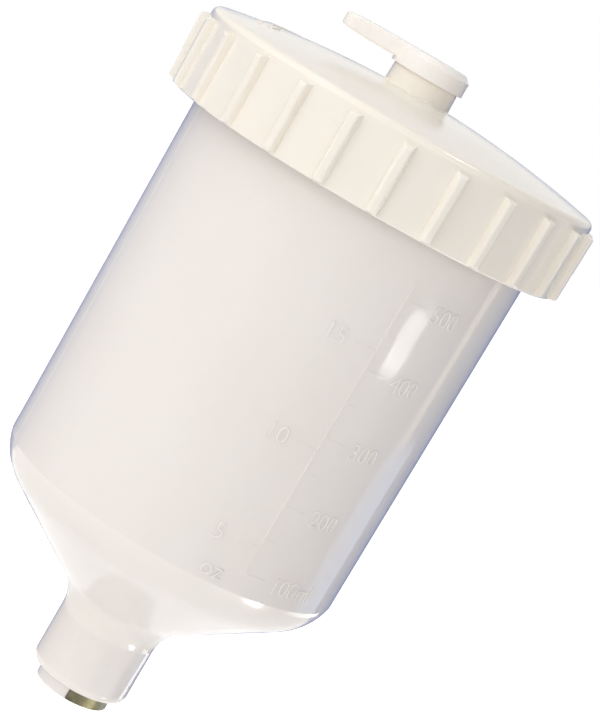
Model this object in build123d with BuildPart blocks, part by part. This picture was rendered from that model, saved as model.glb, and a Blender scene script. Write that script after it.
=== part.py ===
from build123d import *
import math
import os

# A screw-lidded plastic cup that feeds paint down into a spray gun.
# Millimetres and degrees. The origin is the centre of the mouth at the cup's lower end, +Z runs
# up the axis, and the vent lever points along -X when the vent is shut.

os.makedirs("parts", exist_ok=True)

# Clearances
moulded_gap = 0.05
seal_gap = 0.05
running_gap = 0.10
skirt_gap = 0.25
thread_gap = 0.30
overrun = 1.0

# Cup wall
crease_radius = 43.5
cup_draft = 0.6
crease_height = 50.3
rim_height = 156.6
finish_height = 14.0
cup_wall = 1.8
rim_round = 0.5

# Shoulder and cone, with angles taken from the vertical and from the horizontal
shoulder_radius = 14.2
shoulder_start = 11.0
cone_slope = 35.7
throat_fillet = 6.0

# Threaded metal insert, held by two lugs and two collars
thread_radius = 6.46
insert_wall = 1.74
insert_length = 15.0
lug_angle = 81.0
lug_start = -91.0
lug_count = 2
lug_depth = 1.5
collar_depth = 1.0
collar_height = 2.0
collar_spacing = 4.0
collar_count = 2

# Neck and the ring round its mouth
ring_wall = 1.2
ring_height = 3.0
neck_step = 3.0
neck_fillet = 9.6
neck_round = 2.3
throat_lip = 0.6

# Screw thread between the cup and the lid
thread_pitch = 5.0
thread_turns = 1.5
thread_root_width = 2.4
thread_crest_width = 1.0
thread_root_depth = 0.6
thread_depth = 2.6
crest_gap = 1.55
cup_thread_drop = 2.6

# Graduations on the cup wall, a tick for each 100 ml and for each 5 fluid ounces
scale_angle = -61.6
scale_first = 5.05
scale_step = 17.85
ounce_first = 11.8
ounce_step = 25.7
scale_margin = 8.5
mark_height = 0.15
mark_width = 0.7
line_angle = 0.9
tick_angle = 7.0
half_tick_angle = 3.5

# Lid
lid_drop = 16.45
lid_wall = 2.4
dome_edge_rise = 3.3
dome_rise = 5.1
dome_wall = 2.2
lid_shoulder = 1.8
lid_lip_round = 0.5

# Ribs round the lid
rib_count = 24
rib_phase = 5.5
rib_height = 1.8
rib_width = 3.0
rib_length = 17.25
rib_drop = 0.2
rib_root = 0.6
rib_taper = 14.0
rib_lean = 0.9
rib_round = 0.6

# Raised marks on the lid for the way it turns
turn_mark_margin = 9.65
turn_mark_width = 6.0
turn_mark_height = 0.3
turn_mark_bar = 2.0
turn_mark_angle = 46.0
turn_mark_starts = (36.0, 147.0)
turn_head_angle = 7.0

# Boss on the lid and its vent hole
boss_radius = 8.4
boss_draft = 0.2
boss_height = 6.25
boss_wall = 2.2
boss_roof = 3.0
boss_round = 0.6
vent_hole_radius = 1.1
vent_hole_inset = 0.1

# Seals
lid_seal_thickness = 1.5
lid_seal_overhang = 1.7
seat_margin = 0.55
vent_seal_thickness = 1.0

# Vent cap
cap_wall = 0.65
cap_plate = 2.25
cap_skirt_drop = 1.65
cap_chamfer = 1.4
stem_radius = 3.05
stem_bore = 1.7
stem_slot = 1.2
barb_height = 0.75
barb_lead = 2.0
slot_rise = 1.5
channel_width = 2.0
channel_depth = 0.9

# Lever on the vent cap
lever_length = 14.1
lever_straight = 2.7
lever_root_width = 10.0
lever_tip_width = 6.6
lever_thickness = 4.0
lever_tip_thickness = 3.0
lever_droop = 0.5
lever_round = 0.6

# The neck follows the thread, from the inside out
insert_radius = thread_radius + insert_wall
collar_radius = insert_radius + collar_depth
ring_radius = insert_radius + ring_wall
neck_radius = ring_radius + neck_step
throat_radius = insert_radius - throat_lip

# The lid follows the cup's rim
rim_radius = crease_radius + cup_draft
lid_inner_radius = rim_radius + thread_depth + crest_gap
lid_radius = lid_inner_radius + lid_wall
lid_seal_inner = rim_radius - cup_wall - lid_seal_overhang
lid_bottom = rim_height - lid_drop
seat_height = rim_height + lid_seal_thickness + seal_gap
dome_edge = rim_height + dome_edge_rise
dome_top = dome_edge + dome_rise
turn_mark_outer = lid_radius - turn_mark_margin
turn_mark_inner = turn_mark_outer - turn_mark_width

# The vent follows the boss
boss_top = dome_top + boss_height
boss_cavity_radius = boss_radius - boss_wall
vent_hole_offset = boss_cavity_radius - vent_hole_radius - vent_hole_inset
stem_hole_radius = stem_radius + running_gap
vent_seal_low = boss_top + seal_gap
vent_seal_top = vent_seal_low + vent_seal_thickness
cap_bore = boss_radius + skirt_gap
cap_radius = cap_bore + cap_wall
cap_top = vent_seal_top + cap_plate
cap_bottom = boss_top - cap_skirt_drop
lever_reach = cap_radius + lever_length
lever_taper_start = cap_radius + lever_straight

# The cup's thread and scale follow its rim and the lid's edge
finish_low = rim_height - finish_height
cup_thread_top = rim_height - cup_thread_drop
cup_thread_start = cup_thread_top - thread_turns * thread_pitch
scale_low = crease_height + scale_first
ounce_low = crease_height + ounce_first
scale_end = lid_bottom - scale_margin
scale_count = 1 + int((scale_end - scale_low) / scale_step)
ounce_count = 1 + int((scale_end - ounce_low) / ounce_step)


def at(radius, degrees):
    """The point of a circle round the axis."""
    turn = math.radians(degrees)
    return radius * math.cos(turn), radius * math.sin(turn)


def meridian(degrees):
    """The upright plane through the axis at an angle, with X outward and Y up."""
    across = at(1, degrees)
    return Plane(origin=(0, 0, 0), x_dir=(across[0], across[1], 0), z_dir=(across[1], -across[0], 0))


def funnel(inset, bore, fillet_size):
    """Outline points of the shoulder, cone and throat, inset by a wall from the outside."""
    start = math.radians(shoulder_start)
    slope = math.radians(cone_slope)
    centre_r = crease_radius - shoulder_radius * math.cos(start)
    centre_z = crease_height + shoulder_radius * math.sin(start)
    radius = shoulder_radius - inset
    crease = (centre_r + radius * math.cos(start), centre_z - radius * math.sin(start))
    cone_top = (centre_r + radius * math.sin(slope), centre_z - radius * math.cos(slope))
    cone_low_r = bore + fillet_size * (1 - math.sin(slope))
    cone_low_z = cone_top[1] - (cone_top[0] - cone_low_r) * math.tan(slope)
    throat = (bore, cone_low_z - fillet_size * math.cos(slope))
    return crease, cone_top, (cone_low_r, cone_low_z), throat


def down_cone():
    slope = math.radians(cone_slope)
    return -math.cos(slope), -math.sin(slope)


def dome_height(radius, inset):
    """Height of the lid's dome at a radius, inset by a wall."""
    rise = dome_top - dome_edge
    dome_radius = (lid_radius ** 2 + rise ** 2) / (2 * rise)
    return dome_top - dome_radius + math.sqrt((dome_radius - inset) ** 2 - radius ** 2)


def dome_arc(start, end, inset):
    middle = (start + end) / 2
    points = [(r, dome_height(r, inset)) for r in (start, middle, end)]
    ThreePointArc(*points)
    return points[0], points[-1]


def screw_ridge(base_radius, depth, bottom):
    """One helical ridge, standing out of its wall where depth is positive and inward where negative."""
    flank = (thread_root_width - thread_crest_width) / 2 / depth
    root = math.copysign(thread_root_depth, depth)
    root_half = thread_root_width / 2 + root * flank
    crest_half = thread_crest_width / 2
    with BuildPart() as ridge:
        with BuildLine():
            path = Helix(thread_pitch, thread_turns * thread_pitch, base_radius, center=(0, 0, bottom))
        with BuildSketch(Plane(origin=path @ 0, x_dir=(1, 0, 0), z_dir=path % 0)):
            with BuildLine():
                Polyline((-root, -root_half), (depth, -crest_half), (depth, crest_half), (-root, root_half), close=True)
            make_face()
        sweep(is_frenet=True)
    return ridge.part


def cup_radius_at(height):
    """Outside radius of the cup's drafted wall."""
    share = (height - crease_height) / (finish_low - crease_height)
    return crease_radius + (rim_radius - crease_radius) * share


def wall_mark(start, sweep_angle, height, width):
    """A raised bar on the cup wall, from one angle to another at one height."""
    outer = cup_radius_at(height)
    with BuildSketch(meridian(start)) as mark:
        with Locations((outer, height)):
            Rectangle(2 * mark_height, width)
    revolve(mark.sketch, axis=Axis.Z, revolution_arc=sweep_angle)


# Cup body
outer_crease, outer_cone_top, outer_cone_low, outer_throat = funnel(0, neck_radius, neck_fillet)
inner_crease, inner_cone_top, inner_cone_low, inner_throat = funnel(cup_wall, throat_radius, throat_fillet)

with BuildPart() as cup_body:
    with BuildSketch(Plane.XZ):
        with BuildLine():
            Polyline((0, 0), (ring_radius, 0), (ring_radius, ring_height), (neck_radius - neck_round, ring_height))
            TangentArc(
                (neck_radius - neck_round, ring_height),
                (neck_radius, ring_height + neck_round),
                tangent=(1, 0),
            )
            Line((neck_radius, ring_height + neck_round), outer_throat)
            TangentArc(outer_cone_low, outer_throat, tangent=down_cone())
            Line(outer_cone_low, outer_cone_top)
            TangentArc(outer_cone_top, outer_crease, tangent=(-down_cone()[0], -down_cone()[1]))
            Polyline(outer_crease, (rim_radius, finish_low), (rim_radius, rim_height), (0, rim_height), (0, 0))
        make_face()
    revolve(axis=Axis.Z)
    with BuildSketch(Plane.XZ):
        with BuildLine():
            Polyline((0, insert_length), (throat_radius, insert_length), inner_throat)
            TangentArc(inner_cone_low, inner_throat, tangent=down_cone())
            Line(inner_cone_low, inner_cone_top)
            TangentArc(inner_cone_top, inner_crease, tangent=(-down_cone()[0], -down_cone()[1]))
            Polyline(
                inner_crease,
                (rim_radius - cup_wall, finish_low),
                (rim_radius - cup_wall, rim_height + overrun),
                (0, rim_height + overrun),
                (0, insert_length),
            )
        make_face()
    revolve(axis=Axis.Z, mode=Mode.SUBTRACT)
    fillet(cup_body.edges().group_by(Axis.Z)[-1], rim_round)

    # Seat of the insert: its sleeve, its collars and its lugs
    with BuildSketch(Plane.XY.offset(-overrun)):
        Circle(insert_radius + moulded_gap)
    extrude(amount=insert_length + overrun, mode=Mode.SUBTRACT)
    collar_lows = [insert_length - collar_height - n * collar_spacing for n in range(collar_count)]
    for low in collar_lows:
        with BuildSketch(Plane.XY.offset(low - moulded_gap)):
            Circle(collar_radius + moulded_gap)
        extrude(amount=collar_height + 2 * moulded_gap, mode=Mode.SUBTRACT)
    lug_margin = math.degrees(moulded_gap / ring_radius)
    for n in range(lug_count):
        with BuildSketch(meridian(lug_start - lug_margin + n * 360 / lug_count)):
            with BuildLine():
                Polyline(
                    (insert_radius - overrun, -overrun),
                    (ring_radius + overrun, -overrun),
                    (ring_radius + overrun, ring_height),
                    (ring_radius + moulded_gap, ring_height),
                    (ring_radius + moulded_gap, ring_height + lug_depth + moulded_gap),
                    (insert_radius - overrun, ring_height + lug_depth + moulded_gap),
                    close=True,
                )
            make_face()
        revolve(axis=Axis.Z, revolution_arc=lug_angle + 2 * lug_margin, mode=Mode.SUBTRACT)

    # Thread under the lid
    add(screw_ridge(rim_radius, thread_depth, cup_thread_start))

    # Graduations: an upright line, ticks to its right and ticks to its left
    with BuildSketch(meridian(scale_angle)):
        with BuildLine():
            Polyline(
                (cup_radius_at(scale_low) - mark_height, scale_low),
                (cup_radius_at(scale_low) + mark_height, scale_low),
                (cup_radius_at(scale_end) + mark_height, scale_end),
                (cup_radius_at(scale_end) - mark_height, scale_end),
                close=True,
            )
        make_face()
    revolve(axis=Axis.Z, revolution_arc=line_angle)
    for n in range(scale_count):
        wall_mark(scale_angle + line_angle, tick_angle, scale_low + n * scale_step, mark_width)
    for n in range(scale_count - 1):
        halfway = scale_low + n * scale_step + scale_step / 2
        wall_mark(scale_angle + line_angle, half_tick_angle, halfway, mark_width)
    for n in range(ounce_count):
        wall_mark(scale_angle - tick_angle, tick_angle, ounce_low + n * ounce_step, mark_width)

cup_body.part.label = "cup_body"
export_step(cup_body.part, "parts/cup_body.step")

# Threaded insert
with BuildPart() as threaded_insert:
    Cylinder(insert_radius, insert_length, align=(Align.CENTER, Align.CENTER, Align.MIN))
    for low in collar_lows:
        with BuildSketch(Plane.XY.offset(low)):
            Circle(collar_radius)
        extrude(amount=collar_height)
    for n in range(lug_count):
        with BuildSketch(meridian(lug_start + n * 360 / lug_count)):
            with BuildLine():
                Polyline(
                    (thread_radius, 0),
                    (ring_radius, 0),
                    (ring_radius, ring_height + lug_depth),
                    (thread_radius, ring_height + lug_depth),
                    close=True,
                )
            make_face()
        revolve(axis=Axis.Z, revolution_arc=lug_angle)
    with BuildSketch(Plane.XY.offset(-overrun)):
        Circle(thread_radius)
    extrude(amount=insert_length + 2 * overrun, mode=Mode.SUBTRACT)

threaded_insert.part.label = "threaded_insert"
export_step(threaded_insert.part, "parts/threaded_insert.step")

# Lid seal, flat between the cup's rim and the lid's seat
with BuildPart() as lid_seal:
    with BuildSketch(Plane.XY.offset(rim_height)):
        Circle(lid_inner_radius - thread_gap)
        Circle(lid_seal_inner, mode=Mode.SUBTRACT)
    extrude(amount=lid_seal_thickness)

lid_seal.part.label = "lid_seal"
export_step(lid_seal.part, "parts/lid_seal.step")


def make_rib():
    """One grip rib at angle zero, standing a little into the lid's wall."""
    lean = math.radians(rib_lean)
    middle = lid_bottom + rib_drop + rib_length / 2
    foot = Plane(
        origin=(lid_radius - rib_root, 0, middle),
        x_dir=(0, 1, 0),
        z_dir=(math.cos(lean), 0, -math.sin(lean)),
    )
    spread = rib_root * math.tan(math.radians(rib_taper))
    with BuildPart() as rib:
        with BuildSketch(foot):
            Rectangle(rib_width + 2 * spread, rib_length + 2 * spread)
        extrude(amount=rib_root + rib_height, taper=rib_taper)
        crest = rib.faces().sort_by(Axis.X)[-1]
        fillet(crest.edges(), rib_round)
    return rib.part


def turn_mark(start):
    """A raised arc with an arrow head, standing on the dome."""
    middle = (turn_mark_inner + turn_mark_outer) / 2
    end = start + turn_mark_angle
    tip = end + turn_head_angle
    with BuildSketch(Plane.XY.offset(dome_edge)) as mark:
        with BuildLine():
            outer = middle + turn_mark_bar / 2
            inner = middle - turn_mark_bar / 2
            half = (start + end) / 2
            ThreePointArc(at(outer, start), at(outer, half), at(outer, end))
            Polyline(
                at(outer, end),
                at(turn_mark_outer, end),
                at(middle, tip),
                at(turn_mark_inner, end),
                at(inner, end),
            )
            ThreePointArc(at(inner, end), at(inner, half), at(inner, start))
            Line(at(inner, start), at(outer, start))
        make_face()
    extrude(mark.sketch, amount=dome_top - dome_edge)


# Lid
flank_slope = (thread_root_width - thread_crest_width) / 2 / thread_depth
ridge_spacing = thread_root_width - flank_slope * (lid_inner_radius - rim_radius) + thread_gap
lid_thread_start = cup_thread_start - ridge_spacing
with BuildPart() as lid:
    # The turn marks are cut to the dome's curve before the lid is built round them
    for start in turn_mark_starts:
        turn_mark(start)
    with BuildSketch(Plane.XZ):
        with BuildLine():
            low, high = dome_arc(turn_mark_outer + overrun, 0, -turn_mark_height)
            Polyline(high, (0, dome_edge), (turn_mark_outer + overrun, dome_edge), low)
        make_face()
    revolve(axis=Axis.Z, mode=Mode.INTERSECT)

    with BuildSketch(Plane.XZ):
        with BuildLine():
            low, high = dome_arc(lid_radius, boss_radius, 0)
            Polyline(
                high,
                (boss_radius - boss_draft, boss_top),
                (0, boss_top),
                (0, lid_bottom),
                (lid_radius, lid_bottom),
                low,
            )
        make_face()
    revolve(axis=Axis.Z)
    level_circles = lid.edges().filter_by(GeomType.CIRCLE).filter_by(Plane.XY)
    by_radius = level_circles.group_by(SortBy.RADIUS)
    fillet(by_radius[-1].sort_by(Axis.Z)[-1], lid_shoulder)
    fillet(by_radius[0] + by_radius[1], boss_round)
    lip = lid.edges().filter_by(GeomType.CIRCLE).group_by(Axis.Z)[0]
    fillet(lip, lid_lip_round)
    with BuildSketch(Plane.XZ):
        with BuildLine():
            seat_inner = lid_seal_inner - seat_margin
            low, high = dome_arc(seat_inner, boss_cavity_radius, dome_wall)
            Polyline(
                high,
                (boss_cavity_radius, boss_top - boss_roof),
                (0, boss_top - boss_roof),
                (0, lid_bottom - overrun),
                (lid_inner_radius, lid_bottom - overrun),
                (lid_inner_radius, seat_height),
                (seat_inner, seat_height),
                low,
            )
        make_face()
    revolve(axis=Axis.Z, mode=Mode.SUBTRACT)

    with PolarLocations(0, rib_count, start_angle=rib_phase):
        add(make_rib())
    add(screw_ridge(lid_inner_radius, -thread_depth, lid_thread_start))

    # Bore of the vent cap's stem, and the vent beside it
    with BuildSketch(Plane.XY.offset(boss_top + overrun)):
        Circle(stem_hole_radius)
        with Locations(at(vent_hole_offset, 180)):
            Circle(vent_hole_radius)
    extrude(amount=-boss_roof - 2 * overrun, mode=Mode.SUBTRACT)

lid.part.label = "lid"
export_step(lid.part, "parts/lid.step")

# Vent seal, a disc under the vent cap that turns with it
with BuildPart() as vent_seal:
    with BuildSketch(Plane.XY.offset(vent_seal_low)):
        Circle(boss_radius - boss_draft)
        Circle(stem_hole_radius, mode=Mode.SUBTRACT)
        with Locations(at(vent_hole_offset, 90)):
            Circle(vent_hole_radius, mode=Mode.SUBTRACT)
    extrude(amount=vent_seal_thickness)

vent_seal.part.label = "vent_seal"
export_step(vent_seal.part, "parts/vent_seal.step")

# Vent cap: lever first, then the cap, its stem and the air channel
barb_top = boss_top - boss_roof - running_gap
barb_bottom = barb_top - barb_lead
with BuildPart() as vent_cap:
    with BuildSketch(Plane.XZ):
        with BuildLine():
            tip_top = cap_top - lever_droop
            tip_low = tip_top - lever_tip_thickness
            Spline(
                (-lever_reach, tip_top),
                (-lever_taper_start, cap_top),
                tangents=((1, lever_droop / lever_thickness), (1, 0)),
            )
            Polyline(
                (-lever_taper_start, cap_top),
                (0, cap_top),
                (0, cap_top - lever_thickness),
                (-lever_taper_start, cap_top - lever_thickness),
            )
            Spline(
                (-lever_taper_start, cap_top - lever_thickness),
                (-lever_reach, tip_low),
                tangents=((-1, 0), (-1, lever_droop / lever_thickness)),
            )
            Line((-lever_reach, tip_low), (-lever_reach, tip_top))
        make_face()
    extrude(amount=lever_root_width, both=True)
    with BuildSketch(Plane.XY.offset(cap_bottom)):
        with BuildLine():
            tip_half = lever_tip_width / 2
            root_half = lever_root_width / 2
            round_start = -lever_reach + tip_half
            Polyline((round_start, tip_half), (0, root_half), (0, -root_half), (round_start, -tip_half))
            ThreePointArc((round_start, tip_half), (-lever_reach, 0), (round_start, -tip_half))
        make_face()
    extrude(amount=cap_top - cap_bottom, mode=Mode.INTERSECT)
    fillet(vent_cap.edges(), lever_round)
    with BuildSketch(Plane.XY.offset(vent_seal_top)):
        Circle(cap_bore)
    extrude(amount=-lever_thickness, mode=Mode.SUBTRACT)

    with BuildSketch(Plane.XZ):
        with BuildLine():
            Polyline(
                (0, cap_top),
                (cap_radius - cap_chamfer, cap_top),
                (cap_radius, cap_top - cap_chamfer),
                (cap_radius, cap_bottom),
                (cap_bore, cap_bottom),
                (cap_bore, vent_seal_top),
                (stem_radius, vent_seal_top),
                (stem_radius, barb_top),
                (stem_radius + barb_height, barb_top),
                (stem_radius - running_gap, barb_bottom),
                (stem_bore, barb_bottom),
                (stem_bore, vent_seal_low),
                (0, vent_seal_low),
                close=True,
            )
        make_face()
    revolve(axis=Axis.Z)

    # Slots that let the stem's barbs spring in
    with BuildSketch(Plane.XY.offset(barb_bottom)):
        Rectangle(2 * (stem_radius + barb_height), stem_slot)
        Rectangle(stem_slot, 2 * (stem_radius + barb_height))
    extrude(amount=barb_lead + slot_rise, mode=Mode.SUBTRACT)

    # Air channel over the seal and out through the skirt, a quarter turn from the lid's vent
    channel_start = vent_hole_offset - channel_width / 2
    with BuildSketch(Plane.XY.offset(vent_seal_top + channel_depth)):
        with Locations((0, channel_start)):
            Rectangle(channel_width, cap_radius, align=(Align.CENTER, Align.MIN))
    extrude(amount=-channel_depth, mode=Mode.SUBTRACT)
    with BuildSketch(Plane.XY.offset(vent_seal_top)):
        with Locations((0, boss_radius)):
            Rectangle(channel_width, cap_radius, align=(Align.CENTER, Align.MIN))
    extrude(amount=cap_bottom - vent_seal_top, mode=Mode.SUBTRACT)

vent_cap.part.label = "vent_cap"
export_step(vent_cap.part, "parts/vent_cap.step")
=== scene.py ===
import math

import bmesh
import bpy
from mathutils import Matrix, Vector
from mathutils.bvhtree import BVHTree


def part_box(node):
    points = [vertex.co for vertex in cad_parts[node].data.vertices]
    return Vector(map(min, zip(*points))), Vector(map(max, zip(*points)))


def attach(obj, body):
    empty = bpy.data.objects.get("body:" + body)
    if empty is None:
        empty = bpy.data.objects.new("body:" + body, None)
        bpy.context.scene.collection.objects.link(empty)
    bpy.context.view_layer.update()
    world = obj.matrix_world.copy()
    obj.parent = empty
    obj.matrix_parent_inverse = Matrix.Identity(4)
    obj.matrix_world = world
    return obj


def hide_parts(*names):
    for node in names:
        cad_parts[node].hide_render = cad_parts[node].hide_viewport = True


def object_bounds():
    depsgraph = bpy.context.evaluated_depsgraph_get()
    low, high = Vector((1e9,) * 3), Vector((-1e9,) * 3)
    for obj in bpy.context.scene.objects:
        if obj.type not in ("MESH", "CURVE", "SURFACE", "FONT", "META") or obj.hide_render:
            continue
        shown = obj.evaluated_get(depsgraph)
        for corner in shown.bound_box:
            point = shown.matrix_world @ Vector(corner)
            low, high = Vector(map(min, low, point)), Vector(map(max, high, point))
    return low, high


# A spray gun cup of milky plastic with a ribbed screw lid, in metres. The origin is the centre of
# the outlet, +Z runs up the axis and the vent lever points along -X.

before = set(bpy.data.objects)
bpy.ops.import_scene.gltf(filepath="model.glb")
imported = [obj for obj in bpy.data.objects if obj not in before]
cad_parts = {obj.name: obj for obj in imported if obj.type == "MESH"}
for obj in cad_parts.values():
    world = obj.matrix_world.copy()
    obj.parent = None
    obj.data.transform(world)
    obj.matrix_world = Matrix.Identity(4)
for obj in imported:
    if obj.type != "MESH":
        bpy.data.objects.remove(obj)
cad_low, cad_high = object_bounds()
MM = 0.001
WHITE = (1.0, 1.0, 1.0, 1.0)

# Sizes that the pieces made here share with the solids
crease_radius = 43.5 * MM
crease_height = 50.3 * MM
rim_radius = 44.1 * MM
finish_depth = 14.0 * MM
finish_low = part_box("cup_body")[1].z - finish_depth


def srgb(red, green, blue):
    """The linear colour, with alpha, of an 8-bit display colour, by the sRGB standard's curve."""
    def linear(value):
        share = value / 255
        return share / 12.92 if share <= 0.04045 else ((share + 0.055) / 1.055) ** 2.4
    return linear(red), linear(green), linear(blue), 1.0


# Materials

# The mix node has its own sockets for each kind of data, and these are the ones for colours
MIX_SHARE, MIX_FIRST, MIX_SECOND, MIX_RESULT = 0, 6, 7, 2


class Tree:
    """A node tree, with a short way to add and join nodes."""

    def __init__(self, tree):
        self.tree = tree

    def add(self, kind, **settings):
        """A new node with its settings."""
        node = self.tree.nodes.new(kind)
        for key, value in settings.items():
            setattr(node, key, value)
        return node

    def join(self, output, socket):
        self.tree.links.new(output, socket)

    def fill(self, sockets, values):
        """Gives each socket its value, which may be a number, a colour or an output."""
        for socket, value in zip(sockets, values):
            if isinstance(value, bpy.types.NodeSocket):
                self.join(value, socket)
            else:
                socket.default_value = value

    def math(self, operation, *values):
        """The result of a sum on numbers or outputs."""
        node = self.add("ShaderNodeMath", operation=operation)
        self.fill(node.inputs, values)
        return node.outputs["Value"]

    def shade(self, kind, *values):
        """The shader that a new node makes of its inputs, given in their order."""
        node = self.add(kind)
        self.fill(node.inputs, values)
        return node.outputs[0]


class Nodes(Tree):
    """The node tree of one material, in the coordinates of the object that wears it."""

    def __init__(self, name):
        self.material = bpy.data.materials.new(name)
        self.material.use_nodes = True
        super().__init__(self.material.node_tree)
        self.shader = self.tree.nodes["Principled BSDF"]
        self.surface = self.tree.nodes["Material Output"].inputs["Surface"]
        self.place = self.add("ShaderNodeTexCoord").outputs["Object"]

    def stretched(self, scale):
        """The object's own coordinates, stretched by a scale for each axis."""
        mapping = self.add("ShaderNodeMapping")
        mapping.inputs["Scale"].default_value = scale
        self.join(self.place, mapping.inputs["Vector"])
        return mapping.outputs["Vector"]

    def noise(self, scale, detail=3.0, roughness=0.5, stretch=(1, 1, 1)):
        """Noise with its scale in cells a metre."""
        texture = self.add("ShaderNodeTexNoise")
        texture.inputs["Scale"].default_value = scale
        texture.inputs["Detail"].default_value = detail
        texture.inputs["Roughness"].default_value = roughness
        self.join(self.stretched(stretch), texture.inputs["Vector"])
        return texture.outputs["Fac"]

    def ramp(self, value, stops):
        """A colour ramp with (place, colour) stops."""
        node = self.add("ShaderNodeValToRGB")
        elements = node.color_ramp.elements
        while len(elements) < len(stops):
            elements.new(0.5)
        for element, (place, colour) in zip(elements, stops):
            element.position = place
            element.color = colour
        self.join(value, node.inputs["Fac"])
        return node.outputs["Color"]

    def span(self, value, low, high, from_low=0.0, from_high=1.0):
        """A value mapped to a new range."""
        node = self.add("ShaderNodeMapRange")
        node.inputs["From Min"].default_value = from_low
        node.inputs["From Max"].default_value = from_high
        node.inputs["To Min"].default_value = low
        node.inputs["To Max"].default_value = high
        self.join(value, node.inputs["Value"])
        return node.outputs["Result"]

    def mix(self, share, first, second, mode="MIX"):
        """Two colours mixed by a share."""
        node = self.add("ShaderNodeMix", data_type="RGBA", blend_type=mode)
        sockets = [node.inputs[n] for n in (MIX_SHARE, MIX_FIRST, MIX_SECOND)]
        self.fill(sockets, (share, first, second))
        return node.outputs[MIX_RESULT]

    def bump(self, layers):
        """Bumps one on another, each a (height output, strength, depth in metres)."""
        normal = None
        for height, strength, depth in layers:
            node = self.add("ShaderNodeBump")
            node.inputs["Strength"].default_value = strength
            node.inputs["Distance"].default_value = depth
            self.join(height, node.inputs["Height"])
            if normal:
                self.join(normal, node.inputs["Normal"])
            normal = node.outputs["Normal"]
        self.join(normal, self.shader.inputs["Normal"])

    def set(self, **values):
        """Values of the shader's sockets, by name with underscores for spaces."""
        for key, value in values.items():
            self.shader.inputs[key.replace("_", " ")].default_value = value


# The plastic's colour is part cloud and part streak, with darker specks over it
cloud_share = 0.6
streak_share = 0.4
speck_share = 0.2
speck_colour = (0.72, 0.70, 0.66, 1.0)
# Scuffs move its roughness down and up by these
scuff_polish = 0.02
scuff_wear = 0.06
# Its skin
wave_depth = 0.6 * MM
grain_strength = 0.04
grain_depth = 0.05 * MM


def moulded_plastic(name, light, deep, roughness, waves, scatter, reach=1.0 * MM):
    """Milky moulded plastic: cloudy colour, flow streaks, scuffs, and a slightly wavy skin."""
    nodes = Nodes(name)
    clouds = nodes.noise(scale=28.0, detail=3.0, roughness=0.55)
    streaks = nodes.noise(scale=60.0, detail=4.0, roughness=0.6, stretch=(1.0, 1.0, 0.22))
    streak_tone = nodes.math("MULTIPLY", streaks, streak_share)
    tone = nodes.math("MULTIPLY_ADD", clouds, cloud_share, streak_tone)
    colour = nodes.ramp(tone, ((0.32, deep), (0.68, light)))
    specks = nodes.noise(scale=900.0, detail=2.0, roughness=0.5)
    dust = nodes.ramp(specks, ((0.20, speck_colour), (0.27, WHITE)))
    nodes.join(
        nodes.mix(speck_share, colour, dust, "MULTIPLY"),
        nodes.shader.inputs["Base Color"],
    )

    scuffs = nodes.noise(scale=140.0, detail=6.0, roughness=0.7, stretch=(1.0, 1.0, 2.4))
    nodes.join(
        nodes.span(scuffs, roughness - scuff_polish, roughness + scuff_wear, 0.35, 0.75),
        nodes.shader.inputs["Roughness"],
    )
    nodes.bump((
        (nodes.noise(scale=42.0, detail=2.0, roughness=0.4), waves, wave_depth),
        (nodes.noise(scale=520.0, detail=2.0, roughness=0.5), grain_strength, grain_depth),
    ))
    nodes.set(
        IOR=1.49,
        Specular_IOR_Level=0.42,
        Subsurface_Weight=scatter,
        Subsurface_Radius=(1.0, 0.94, 0.88),
        Subsurface_Scale=reach,
    )
    return nodes.material


turning_strength = 0.35
turning_depth = 0.03 * MM
pitting_strength = 0.12
pitting_depth = 0.02 * MM


def plated_metal(name):
    """Dull nickel over brass, turned, with fine rings and a brown bloom."""
    nodes = Nodes(name)
    rings = nodes.noise(scale=2600.0, detail=2.0, roughness=0.5, stretch=(0.02, 0.02, 1.0))
    bloom = nodes.noise(scale=260.0, detail=4.0, roughness=0.6)
    colour = nodes.ramp(bloom, (
        (0.30, srgb(98, 90, 61)),
        (0.55, srgb(131, 124, 93)),
        (0.75, srgb(153, 146, 117)),
    ))
    nodes.join(colour, nodes.shader.inputs["Base Color"])
    nodes.join(nodes.span(bloom, 0.26, 0.48, 0.3, 0.7), nodes.shader.inputs["Roughness"])
    pits = nodes.noise(scale=900.0, detail=3.0, roughness=0.6)
    nodes.bump((
        (rings, turning_strength, turning_depth),
        (pits, pitting_strength, pitting_depth),
    ))
    nodes.set(Metallic=1.0)
    return nodes.material


rubber_grain_strength = 0.25
rubber_grain_depth = 0.03 * MM


def soft_rubber(name):
    """Pale soft elastomer with a matte skin."""
    nodes = Nodes(name)
    bloom = nodes.noise(scale=120.0, detail=5.0, roughness=0.6)
    colour = nodes.ramp(bloom, ((0.3, srgb(214, 212, 204)), (0.7, srgb(232, 230, 222))))
    nodes.join(colour, nodes.shader.inputs["Base Color"])
    nodes.join(nodes.span(bloom, 0.55, 0.75), nodes.shader.inputs["Roughness"])
    grain = nodes.noise(scale=1400.0, detail=3.0, roughness=0.6)
    nodes.bump(((grain, rubber_grain_strength, rubber_grain_depth),))
    nodes.set(
        Subsurface_Weight=0.15,
        Subsurface_Scale=1.5 * MM,
        Subsurface_Radius=(1.0, 0.9, 0.8),
    )
    return nodes.material


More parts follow.
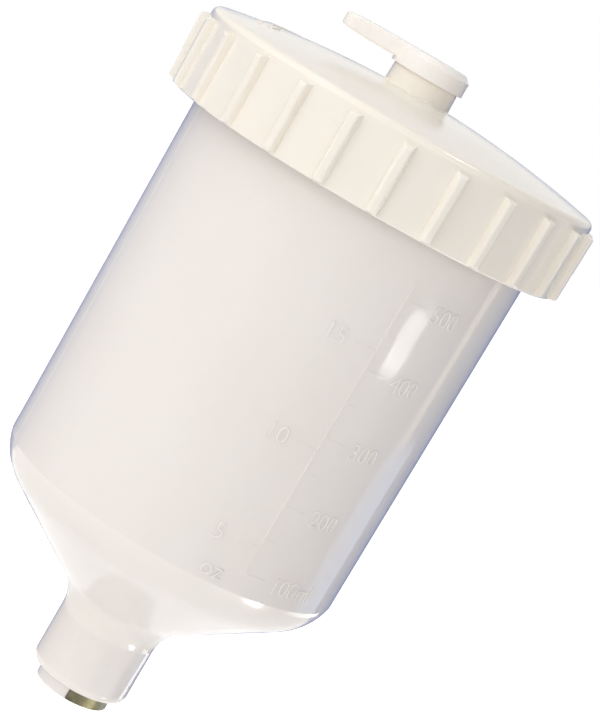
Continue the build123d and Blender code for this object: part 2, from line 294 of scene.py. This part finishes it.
cup_plastic = moulded_plastic(
    "cup_plastic",
    light=srgb(249, 243, 237),
    deep=srgb(246, 239, 232),
    roughness=0.09,
    waves=0.16,
    scatter=0.5,
    reach=1.6 * MM,
)
lid_plastic = moulded_plastic(
    "lid_plastic",
    light=srgb(254, 247, 236),
    deep=srgb(252, 243, 231),
    roughness=0.16,
    waves=0.10,
    scatter=0.4,
    reach=1.5 * MM,
)
vent_plastic = moulded_plastic(
    "vent_plastic",
    light=srgb(255, 252, 246),
    deep=srgb(254, 250, 243),
    roughness=0.20,
    waves=0.08,
    scatter=0.08,
    reach=0.8 * MM,
)
# The marks are the cup's plastic without scatter, a shade lighter than the cup's; that lighter shade is
# painted highlight on the raised numbers and parting lines.
mark_plastic = moulded_plastic(
    "mark_plastic",
    light=srgb(250, 246, 240),
    deep=srgb(247, 243, 236),
    roughness=0.16,
    waves=0.0,
    scatter=0.0,
)
insert_metal = plated_metal("insert_metal")
seal_rubber = soft_rubber("seal_rubber")


def dress(node, material):
    """Gives a CAD node its finished material."""
    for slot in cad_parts[node].material_slots:
        slot.material = material


dress("cup_body", cup_plastic)
dress("lid", lid_plastic)
dress("vent_cap", vent_plastic)
dress("threaded_insert", insert_metal)
dress("lid_seal", seal_rubber)
dress("vent_seal", seal_rubber)


# Pieces

def new_object(name, mesh, material, body):
    """A visible piece that rides on a body and wears the material of a slot."""
    piece = bpy.data.objects.new(name, mesh)
    bpy.context.scene.collection.objects.link(piece)
    mesh.materials.clear()
    mesh.materials.append(material)
    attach(piece, body)
    return piece


def new_mesh(name, model):
    """The mesh of a model, which is freed."""
    mesh = bpy.data.meshes.new(name)
    model.to_mesh(mesh)
    model.free()
    return mesh


def round_axis(radius, degrees, height):
    """A point at a radius, an angle and a height."""
    turn = math.radians(degrees)
    return Vector((radius * math.cos(turn), radius * math.sin(turn), height))


def wall_radius(height):
    """The cup's outside radius on its drafted wall."""
    share = (height - crease_height) / (finish_low - crease_height)
    return crease_radius + (rim_radius - crease_radius) * share


# Raised numbers of the two scales on the wall, with their units. The first of each is that far
# over the crease.
number_height = 4.2 * MM
number_relief = 0.18 * MM
number_round = 0.08 * MM
number_round_steps = 1
number_sink = 0.12 * MM
capital_share = 0.72
millilitres_each = 100
millilitre_first = 5.05 * MM
millilitre_step = 17.85 * MM
millilitre_count = 5
ounces_each = 5
ounce_first = 11.8 * MM
ounce_step = 25.7 * MM
ounce_count = 3
millilitre_angle = -51.0
millilitre_unit_angle = -39.1
ounce_angle = -75.0
ounce_unit_angle = -71.0
ounce_unit_drop = 8.4 * MM


def wall_text(words, angle, height, align="LEFT"):
    """Raised characters wrapped round the wall, their middle at a height."""
    curve = bpy.data.curves.new("words", "FONT")
    curve.body = words
    curve.size = number_height / capital_share
    curve.align_x = align
    curve.extrude = (number_relief + number_sink) / 2 - number_round
    curve.bevel_depth = number_round
    curve.offset = -number_round
    curve.bevel_resolution = number_round_steps
    holder = bpy.data.objects.new("words", curve)
    mesh = bpy.data.meshes.new_from_object(holder)
    bpy.data.objects.remove(holder)
    bpy.data.curves.remove(curve)
    for vertex in mesh.vertices:
        across, up, out = vertex.co
        level = height - number_height / 2 + up
        radius = wall_radius(level) + out + (number_relief - number_sink) / 2
        vertex.co = round_axis(radius, angle + math.degrees(across / radius), level)
    return mesh


def joined(name, meshes):
    """One mesh from several."""
    model = bmesh.new()
    for mesh in meshes:
        model.from_mesh(mesh)
        bpy.data.meshes.remove(mesh)
    return new_mesh(name, model)


def make_scale_numbers():
    """The numbers up both scales, and the unit beside or under the lowest of each."""
    millilitre_low = crease_height + millilitre_first
    ounce_low = crease_height + ounce_first
    meshes = []
    for n in range(millilitre_count):
        words = str(millilitres_each * (n + 1))
        meshes.append(wall_text(words, millilitre_angle, millilitre_low + n * millilitre_step))
    for n in range(ounce_count):
        words = str(ounces_each * (n + 1))
        meshes.append(wall_text(words, ounce_angle, ounce_low + n * ounce_step, "CENTER"))
    meshes.append(wall_text("ml", millilitre_unit_angle, millilitre_low))
    meshes.append(wall_text("oz", ounce_unit_angle, ounce_low - ounce_unit_drop, "CENTER"))
    mesh = joined("scale_numbers", meshes)
    new_object("scale_numbers", mesh, mark_plastic, "cup")


make_scale_numbers()

# Fine ridges where the two halves of the mould met, down the wall, the cone and the neck. The
# profile gives each point's share of the half width and its height over the skin.
parting_angles = (-157.5, 22.5)
parting_low = 6.2 * MM
parting_high = finish_low
parting_steps = 160
parting_half = 0.22 * MM
parting_relief = 0.07 * MM
parting_sink = 0.02 * MM
parting_crest_share = 0.35
parting_profile = (
    (-1.0, -parting_sink),
    (-parting_crest_share, parting_relief),
    (parting_crest_share, parting_relief),
    (1.0, -parting_sink),
)


def skin_of(node):
    """A tree that finds the surface of a CAD node."""
    model = bmesh.new()
    model.from_mesh(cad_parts[node].data)
    tree = BVHTree.FromBMesh(model)
    model.free()
    return tree


def strip(model, rows):
    """Faces between rows of points."""
    made = [[model.verts.new(point) for point in row] for row in rows]
    for first, second in zip(made, made[1:]):
        for n in range(len(first) - 1):
            model.faces.new((first[n], first[n + 1], second[n + 1], second[n]))


def smooth(model):
    for face in model.faces:
        face.smooth = True


def parting_rows(skin, angle):
    """The profile of a parting line, laid on the skin at each step of its way up."""
    out = round_axis(1, angle, 0)
    side = round_axis(1, angle + 90, 0)
    rows = []
    for n in range(parting_steps + 1):
        level = parting_low + (parting_high - parting_low) * n / parting_steps
        place, normal = skin.ray_cast(round_axis(cad_high.x, angle, level), -out)[:2]
        rows.append([
            place + side * across * parting_half + normal * rise
            for across, rise in parting_profile
        ])
    return rows


def make_parting_lines():
    skin = skin_of("cup_body")
    model = bmesh.new()
    for angle in parting_angles:
        strip(model, parting_rows(skin, angle))
    bmesh.ops.recalc_face_normals(model, faces=model.faces)
    smooth(model)
    mesh = new_mesh("parting_lines", model)
    new_object("parting_lines", mesh, mark_plastic, "cup")


make_parting_lines()

# The metal insert: a sleeve with a cut thread, two collars, and two lugs in the outlet ring
thread_minor = 6.46 * MM
thread_major = 7.0 * MM
thread_pitch = 1.0 * MM
thread_flat_share = 0.2
thread_rows = 10
insert_columns = 120
insert_column_angle = 360 / insert_columns
insert_chamfer = 0.7 * MM
insert_radius = 8.2 * MM
insert_length = 15.0 * MM
collar_radius = 9.2 * MM
collar_height = 2.0 * MM
collar_spacing = 4.0 * MM
lug_radius = 9.4 * MM
lug_top = 4.5 * MM
lug_start = -91.0
lug_angle = 81.0
insert_edge = 0.12 * MM
insert_edge_steps = 2
insert_edge_angle = 60.0
insert_weld = 0.001 * MM
insert_sliver = 0.0005 * MM

# The heights at which the outside may change, from the outlet up
upper_collar_low = insert_length - collar_height
collar_bands = [
    (low, low + collar_height)
    for low in (upper_collar_low - collar_spacing, upper_collar_low)
]
insert_levels = [0.0, lug_top, *collar_bands[0], *collar_bands[1]]
last_band = len(insert_levels) - 2


def thread_radius(phase):
    """The bore's radius at a share of the pitch: a flat crest, a slope, a flat root and a slope."""
    slope = 0.5 - thread_flat_share
    share = phase % 1.0
    if share > 0.5:
        share = 1.0 - share
    rise = min(max((share - thread_flat_share / 2) / slope, 0.0), 1.0)
    return thread_minor + (thread_major - thread_minor) * rise


def bore_column(turn):
    """The points up the threaded bore at a share of the turn, with a chamfer at both ends."""
    spacing = thread_pitch / thread_rows
    row_count = round(insert_length / spacing) + 2 * thread_rows
    points = []
    for row in range(row_count + 1):
        height = row * spacing + (turn - 1) * thread_pitch
        height = min(max(height, 0.0), insert_length)
        lead_in = insert_chamfer - min(height, insert_length - height)
        radius = max(thread_radius(row / thread_rows), thread_minor + lead_in)
        points.append(round_axis(radius, lug_start + turn * 360, height))
    return points


def insert_bore(model):
    """The threaded bore, its rows running along the helix, between two rings at its ends."""
    strip(model, [bore_column(column / insert_columns) for column in range(insert_columns + 1)])


def outside_radius(column, band):
    """How far out the insert reaches in one cell, of a column and a band between two levels."""
    middle = (insert_levels[band] + insert_levels[band + 1]) / 2
    if any(low < middle < high for low, high in collar_bands):
        return collar_radius
    in_lug = (column * insert_column_angle) % 180 < lug_angle
    return lug_radius if middle < lug_top and in_lug else insert_radius


def insert_face(model, *corners):
    """A face of the insert, each corner a (radius, column, height)."""
    points = [
        round_axis(radius, lug_start + column * insert_column_angle, height)
        for radius, column, height in corners
    ]
    model.faces.new([model.verts.new(point) for point in points])


def flat_face(model, column, height, first, second):
    """A level face over one column, from one radius to another."""
    after = column + 1
    insert_face(
        model,
        (first, column, height),
        (second, column, height),
        (second, after, height),
        (first, after, height),
    )


def end_faces(model, column, band, height):
    """One column of an end of the insert, out to what the band at that end reaches."""
    flat_face(model, column, height, thread_minor + insert_chamfer, insert_radius)
    outer = outside_radius(column, band)
    if outer > insert_radius:
        flat_face(model, column, height, insert_radius, outer)


def cell_faces(model, column, band):
    """One cell of the outside: its wall, the step to the next column and the step to the next band."""
    low, high = insert_levels[band], insert_levels[band + 1]
    after = column + 1
    here = outside_radius(column, band)
    insert_face(
        model, (here, column, low), (here, after, low), (here, after, high), (here, column, high)
    )
    beside = outside_radius(after % insert_columns, band)
    if beside != here:
        insert_face(
            model, (here, after, low), (beside, after, low), (beside, after, high), (here, after, high)
        )
    above = outside_radius(column, min(band + 1, last_band))
    if above != here:
        flat_face(model, column, high, here, above)


def insert_outside(model):
    """The ends, walls and steps of the insert's outside, column by column."""
    for column in range(insert_columns):
        end_faces(model, column, 0, 0.0)
        end_faces(model, column, last_band, insert_length)
        for band in range(last_band + 1):
            cell_faces(model, column, band)


def make_insert():
    """The insert with its thread and eased edges, in place of the plain solid."""
    model = bmesh.new()
    insert_bore(model)
    insert_outside(model)
    bmesh.ops.remove_doubles(model, verts=model.verts, dist=insert_weld)
    bmesh.ops.dissolve_degenerate(model, edges=model.edges, dist=insert_sliver)
    bmesh.ops.recalc_face_normals(model, faces=model.faces)
    mesh = new_mesh("turned_insert", model)
    piece = new_object("turned_insert", mesh, insert_metal, "cup")
    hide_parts("threaded_insert")
    edges = piece.modifiers.new("edges", "BEVEL")
    edges.width = insert_edge
    edges.segments = insert_edge_steps
    edges.limit_method = "ANGLE"
    edges.angle_limit = math.radians(insert_edge_angle)


make_insert()


# Stage: floor, surround, lights and camera
floor_height = -0.26
floor_reach = 6.0
floor_sides = 64
floor_glow = 0.68
surround_radius = 0.75
surround_low = -0.255
surround_high = 0.215
surround_sides = 72
surround_colours = ((0.07, 0.15, 0.40, 1.0), (0.13, 0.21, 0.48, 1.0))
world_level = 0.61
world_colour = (1.0, 0.975, 0.985, 1.0)
side_dimming = 0.90
side_tilt = 0.06


def seen_rays(nodes):
    """One for the rays by which the background is seen, straight, in a reflection or through glass."""
    rays = nodes.add("ShaderNodeLightPath")
    seen = rays.outputs["Is Camera Ray"]
    for kind in ("Is Glossy Ray", "Is Transmission Ray"):
        seen = nodes.math("MAXIMUM", seen, rays.outputs[kind])
    return seen


def stage_object(name, model, material):
    """A part of the stage, which isn't part of the object."""
    mesh = new_mesh(name, model)
    mesh.materials.append(material)
    item = bpy.data.objects.new(name, mesh)
    bpy.context.scene.collection.objects.link(item)
    return item


def floor_material():
    """Pale matte floor that looks white where it is lit, keeps shadows, and is clear from below."""
    nodes = Nodes("floor_pale")
    mottle = nodes.noise(scale=3.0, detail=4.0, roughness=0.5)
    colour = nodes.ramp(mottle, ((0.3, srgb(244, 244, 244)), (0.7, srgb(247, 247, 247))))
    nodes.join(colour, nodes.shader.inputs["Base Color"])
    nodes.set(Roughness=0.8)
    glow = nodes.add("ShaderNodeEmission")
    nodes.join(nodes.math("MULTIPLY", seen_rays(nodes), floor_glow), glow.inputs["Strength"])
    lit = nodes.shade(
        "ShaderNodeAddShader", nodes.shader.outputs["BSDF"], glow.outputs["Emission"]
    )
    from_below = nodes.add("ShaderNodeNewGeometry").outputs["Backfacing"]
    clear = nodes.add("ShaderNodeBsdfTransparent").outputs["BSDF"]
    nodes.join(nodes.shade("ShaderNodeMixShader", from_below, lit, clear), nodes.surface)
    return nodes.material


def make_floor():
    model = bmesh.new()
    bmesh.ops.create_circle(model, cap_ends=True, radius=floor_reach, segments=floor_sides)
    floor = stage_object("floor", model, floor_material())
    floor.location.z = floor_height


def glow_material(name, first, second):
    """Plain light of two mottled colours."""
    nodes = Nodes(name)
    glow = nodes.add("ShaderNodeEmission")
    nodes.join(nodes.mix(nodes.noise(scale=2.0), first, second), glow.inputs["Color"])
    nodes.join(glow.outputs["Emission"], nodes.surface)
    return nodes.material


def in_gloss_only(item):
    """Hides a part of the stage from all but the object's reflections."""
    item.visible_camera = False
    item.visible_diffuse = False
    item.visible_shadow = False


def make_surround():
    """A blue-grey band round the object, seen only in its gloss, that keeps pale edges readable."""
    material = glow_material("surround_blue_grey", *surround_colours)
    model = bmesh.new()
    rows = []
    for n in range(surround_sides + 1):
        angle = n * 360 / surround_sides
        rows.append([
            round_axis(surround_radius, angle, level)
            for level in (surround_low, surround_high)
        ])
    strip(model, rows)
    in_gloss_only(stage_object("surround", model, material))


def outward(azimuth, elevation):
    """The direction from the object. Azimuth 0 is in front, and 90 is to the right."""
    turn, rise = math.radians(azimuth), math.radians(elevation)
    level = math.cos(rise)
    return Vector((math.sin(turn) * level, -math.cos(turn) * level, math.sin(rise)))


def card(name, azimuth, elevation, distance, size, glow, roll):
    """A bright card aimed at the object and seen only in its gloss, as a window or a lamp is."""
    out = outward(azimuth, elevation)
    level = Vector((-out.y, out.x, 0)).normalized()
    plumb = out.cross(level)
    turn = math.radians(roll)
    across = (level * math.cos(turn) + plumb * math.sin(turn)) * size[0] / 2
    upward = (plumb * math.cos(turn) - level * math.sin(turn)) * size[1] / 2
    place = (cad_low + cad_high) / 2 + out * distance
    corners = (
        place - across - upward,
        place + across - upward,
        place + across + upward,
        place - across + upward,
    )
    model = bmesh.new()
    model.faces.new([model.verts.new(corner) for corner in corners])
    colour = (*glow, 1)
    in_gloss_only(stage_object(name, model, glow_material(name, colour, colour)))


def side_light(nodes):
    """The world's strength: world_level * (1 - side_tilt * x - side_dimming * x * x), x to the right."""
    place = nodes.add("ShaderNodeTexCoord").outputs["Generated"]
    axes = nodes.add("ShaderNodeSeparateXYZ")
    nodes.join(place, axes.inputs["Vector"])
    across = axes.outputs["X"]
    slope = nodes.math(
        "MULTIPLY_ADD", across, -side_dimming * world_level, -side_tilt * world_level
    )
    return nodes.math("MULTIPLY_ADD", across, slope, world_level)


def make_world():
    """Pale light from all round, less from the sides and least from the right, on a white ground."""
    world = bpy.data.worlds.new("studio")
    bpy.context.scene.world = world
    world.use_nodes = True
    nodes = Tree(world.node_tree)
    nodes.tree.nodes.clear()
    light = nodes.shade("ShaderNodeBackground", world_colour, side_light(nodes))
    white = nodes.shade("ShaderNodeBackground", WHITE)
    both = nodes.shade("ShaderNodeMixShader", seen_rays(nodes), light, white)
    nodes.join(both, nodes.add("ShaderNodeOutputWorld").inputs["Surface"])


def lamp(name, azimuth, elevation, distance, size, power, colour):
    """A soft rectangular lamp aimed at the object."""
    out = outward(azimuth, elevation)
    data = bpy.data.lights.new(name, "AREA")
    data.shape = "RECTANGLE"
    data.size, data.size_y = size
    data.energy = power
    data.color = colour
    light = bpy.data.objects.new(name, data)
    light.location = (cad_low + cad_high) / 2 + out * distance
    light.rotation_mode = "QUATERNION"
    light.rotation_quaternion = (-out).to_track_quat("-Z", "Y")
    light.visible_camera = False
    bpy.context.scene.collection.objects.link(light)


make_floor()
make_surround()
make_world()

# Name, azimuth and elevation in degrees, distance, width and height, power in watts, colour
lamps = (
    ("key", -56, 16, 1.6, (2.2, 1.6), 11.0, (1.0, 0.98, 0.955)),
    ("fill", 24, 8, 1.8, (1.6, 1.2), 5.7, (1.0, 0.98, 0.95)),
    ("top", -60, 64, 1.6, (1.4, 1.4), 5.8, (1.0, 0.99, 0.97)),
    ("bounce", 72, -36, 0.45, (0.3, 0.2), 0.19, (1.0, 0.99, 1.0)),
)
for row in lamps:
    lamp(*row)

# Name, azimuth and elevation in degrees, distance, width and height, glow, roll in degrees
cards = (
    ("window", 72.3, -4.9, 0.63, (0.14, 0.028), (8, 8, 8), 0),
    ("strip", 117, 0, 0.65, (0.08, 0.36), (1.4, 1.33, 1.22), 0),
    ("low_card", 121, -16, 0.65, (0.28, 0.17), (0.65, 0.9, 1.5), 0),
    ("lid_glint", 58.7, 64.2, 0.63, (0.15, 0.03), (60, 60, 58), 0),
    ("shoulder_glint", 78.3, -37, 0.33, (0.07, 0.04), (13, 13, 13), 0),
    ("crease_glint", 131, -27, 0.48, (0.30, 0.03), (3.0, 3.0, 3.0), 15),
)
for row in cards:
    card(*row)

# The camera, as fitted to the photograph: its place in millimetres, its three directions, and
# its lens and sensor in the camera's own millimetres
camera_place = Vector((7.220, -578.299, 186.554)) * MM
camera_right = Vector((0.863617, 0.075978, 0.498390))
camera_down = Vector((0.504147, -0.131599, -0.853532))
camera_forward = Vector((0.000737, 0.988387, -0.151955))
camera_lens = 123.97
camera_sensor = 36.0
camera_near = 0.01
camera_far = 50.0

camera_data = bpy.data.cameras.new("camera")
camera_data.lens = camera_lens
camera_data.sensor_width = camera_sensor
camera_data.clip_start = camera_near
camera_data.clip_end = camera_far
camera = bpy.data.objects.new("camera", camera_data)
turned = Matrix((camera_right, -camera_down, -camera_forward)).transposed()
camera.matrix_world = Matrix.Translation(camera_place) @ turned.to_4x4()
bpy.context.scene.collection.objects.link(camera)
bpy.context.scene.camera = camera
bpy.context.scene.view_settings.view_transform = "Standard"
